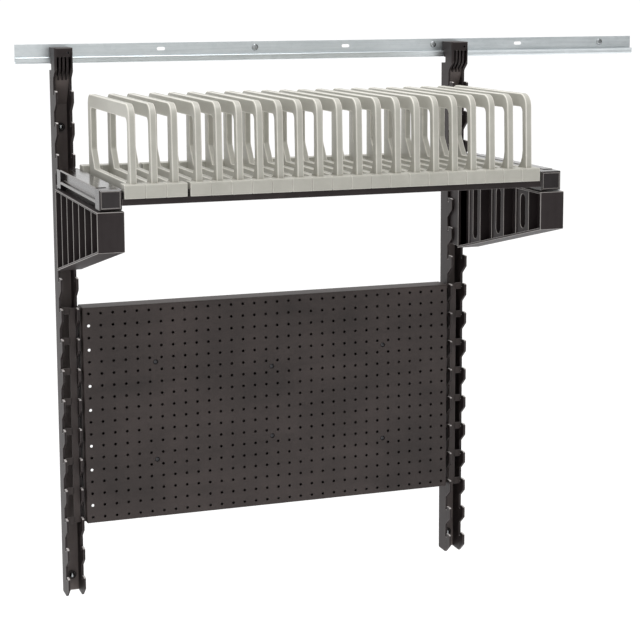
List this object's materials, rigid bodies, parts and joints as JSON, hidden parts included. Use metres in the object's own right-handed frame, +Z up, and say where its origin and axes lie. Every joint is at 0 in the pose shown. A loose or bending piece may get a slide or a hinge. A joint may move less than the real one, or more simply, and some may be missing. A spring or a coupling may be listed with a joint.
{
  "type": "wall-hung rail shelf with hoop dividers",
  "caption": "Wall rail with two hooked uprights that carry a bracketed shelf of upright hoop dividers and, below it, a perforated panel.",
  "frame": {"origin": "on the back face of the wall rail, midway between the two uprights, 16.5 mm below the rail's hole line", "axes": "+X to the right along the wall, +Y into the wall, +Z up; the shelf stands out towards -Y"},
  "size_m": [1.397, 0.493, 1.152],
  "materials": {
    "galvanised": "galvanised sheet, satin",
    "zinc": "zinc-plated",
    "polymer": "satin moulded polymer",
    "gloss_polymer": "glossy moulded polymer",
    "hoop_polymer": "satin moulded polymer, warm grey",
    "powder_coat": "fine powder coat, black"
  },
  "bodies": {
    "wall": {"wall_rail": "galvanised", "rail_screw_1": "zinc", "rail_screw_2": "zinc", "rail_screw_3": "zinc", "rail_screw_4": "zinc"},
    "uprights": {"upright_left": "polymer", "upright_right": "polymer"},
    "lock_screw_left": {"lock_screw_left": "zinc"},
    "lock_screw_right": {"lock_screw_right": "zinc"},
    "brackets": {"bracket_left": "polymer", "bracket_right": "polymer"},
    "shelf_frame": {"side_beam_left": "gloss_polymer", "side_beam_right": "gloss_polymer", "front_cap_left": "gloss_polymer", "front_cap_right": "gloss_polymer", "rear_cap_left": "gloss_polymer", "rear_cap_right": "gloss_polymer", "front_beam": "gloss_polymer", "rear_beam": "gloss_polymer"},
    "panel": {"peg_panel": "powder_coat", "panel_back": "powder_coat", "panel_hanger_left": "powder_coat", "panel_hanger_right": "powder_coat", "rivet_left_upper": "zinc", "rivet_left_lower": "zinc", "rivet_right_upper": "zinc", "rivet_right_lower": "zinc"},
    "hoop_01": {"hoop_01": "hoop_polymer"},
    "hoop_02": {"hoop_02": "hoop_polymer"},
    "hoop_03": {"hoop_03": "hoop_polymer"},
    "hoop_04": {"hoop_04": "hoop_polymer"},
    "hoop_05": {"hoop_05": "hoop_polymer"},
    "hoop_06": {"hoop_06": "hoop_polymer"},
    "hoop_07": {"hoop_07": "hoop_polymer"},
    "hoop_08": {"hoop_08": "hoop_polymer"},
    "hoop_09": {"hoop_09": "hoop_polymer"},
    "hoop_10": {"hoop_10": "hoop_polymer"},
    "hoop_11": {"hoop_11": "hoop_polymer"},
    "hoop_12": {"hoop_12": "hoop_polymer"},
    "hoop_13": {"hoop_13": "hoop_polymer"},
    "hoop_14": {"hoop_14": "hoop_polymer"},
    "hoop_15": {"hoop_15": "hoop_polymer"},
    "hoop_16": {"hoop_16": "hoop_polymer"},
    "hoop_17": {"hoop_17": "hoop_polymer"},
    "hoop_18": {"hoop_18": "hoop_polymer"},
    "hoop_19": {"hoop_19": "hoop_polymer"},
    "hoop_20": {"hoop_20": "hoop_polymer"},
    "hoop_21": {"hoop_21": "hoop_polymer"}
  },
  "joints": [
    {"name": "rail_slide", "type": "slide", "parent": "wall", "child": "uprights", "axis": [1, 0, 0], "range_m": [-0.065, 0.42]},
    {"name": "lock_screw_left_turn", "type": "hinge", "parent": "uprights", "child": "lock_screw_left", "pos_m": [-0.4228, -0.03, 0.013], "axis": [0, -1, 0], "range_deg": [0, 720]},
    {"name": "lock_screw_right_turn", "type": "hinge", "parent": "uprights", "child": "lock_screw_right", "pos_m": [0.4408, -0.03, 0.013], "axis": [0, -1, 0], "range_deg": [0, 720]},
    {"name": "brackets_lift", "type": "slide", "parent": "uprights", "child": "brackets", "axis": [0, 0, 1], "range_m": [0, 0.012]},
    {"name": "shelf_lift", "type": "slide", "parent": "brackets", "child": "shelf_frame", "axis": [0, 0, 1], "range_m": [0, 0.03]},
    {"name": "panel_lift", "type": "slide", "parent": "uprights", "child": "panel", "axis": [0, 0, 1], "range_m": [0, 0.012]},
    {"name": "hoop_01_lift", "type": "slide", "parent": "shelf_frame", "child": "hoop_01", "axis": [0, 0, 1], "range_m": [0, 0.03]},
    {"name": "hoop_02_lift", "type": "slide", "parent": "shelf_frame", "child": "hoop_02", "axis": [0, 0, 1], "range_m": [0, 0.03]},
    {"name": "hoop_03_lift", "type": "slide", "parent": "shelf_frame", "child": "hoop_03", "axis": [0, 0, 1], "range_m": [0, 0.03]},
    {"name": "hoop_04_lift", "type": "slide", "parent": "shelf_frame", "child": "hoop_04", "axis": [0, 0, 1], "range_m": [0, 0.03]},
    {"name": "hoop_05_lift", "type": "slide", "parent": "shelf_frame", "child": "hoop_05", "axis": [0, 0, 1], "range_m": [0, 0.03]},
    {"name": "hoop_06_lift", "type": "slide", "parent": "shelf_frame", "child": "hoop_06", "axis": [0, 0, 1], "range_m": [0, 0.03]},
    {"name": "hoop_07_lift", "type": "slide", "parent": "shelf_frame", "child": "hoop_07", "axis": [0, 0, 1], "range_m": [0, 0.03]},
    {"name": "hoop_08_lift", "type": "slide", "parent": "shelf_frame", "child": "hoop_08", "axis": [0, 0, 1], "range_m": [0, 0.03]},
    {"name": "hoop_09_lift", "type": "slide", "parent": "shelf_frame", "child": "hoop_09", "axis": [0, 0, 1], "range_m": [0, 0.03]},
    {"name": "hoop_10_lift", "type": "slide", "parent": "shelf_frame", "child": "hoop_10", "axis": [0, 0, 1], "range_m": [0, 0.03]},
    {"name": "hoop_11_lift", "type": "slide", "parent": "shelf_frame", "child": "hoop_11", "axis": [0, 0, 1], "range_m": [0, 0.03]},
    {"name": "hoop_12_lift", "type": "slide", "parent": "shelf_frame", "child": "hoop_12", "axis": [0, 0, 1], "range_m": [0, 0.03]},
    {"name": "hoop_13_lift", "type": "slide", "parent": "shelf_frame", "child": "hoop_13", "axis": [0, 0, 1], "range_m": [0, 0.03]},
    {"name": "hoop_14_lift", "type": "slide", "parent": "shelf_frame", "child": "hoop_14", "axis": [0, 0, 1], "range_m": [0, 0.03]},
    {"name": "hoop_15_lift", "type": "slide", "parent": "shelf_frame", "child": "hoop_15", "axis": [0, 0, 1], "range_m": [0, 0.03]},
    {"name": "hoop_16_lift", "type": "slide", "parent": "shelf_frame", "child": "hoop_16", "axis": [0, 0, 1], "range_m": [0, 0.03]},
    {"name": "hoop_17_lift", "type": "slide", "parent": "shelf_frame", "child": "hoop_17", "axis": [0, 0, 1], "range_m": [0, 0.03]},
    {"name": "hoop_18_lift", "type": "slide", "parent": "shelf_frame", "child": "hoop_18", "axis": [0, 0, 1], "range_m": [0, 0.03]},
    {"name": "hoop_19_lift", "type": "slide", "parent": "shelf_frame", "child": "hoop_19", "axis": [0, 0, 1], "range_m": [0, 0.03]},
    {"name": "hoop_20_lift", "type": "slide", "parent": "shelf_frame", "child": "hoop_20", "axis": [0, 0, 1], "range_m": [0, 0.03]},
    {"name": "hoop_21_lift", "type": "slide", "parent": "shelf_frame", "child": "hoop_21", "axis": [0, 0, 1], "range_m": [0, 0.03]}
  ]
}
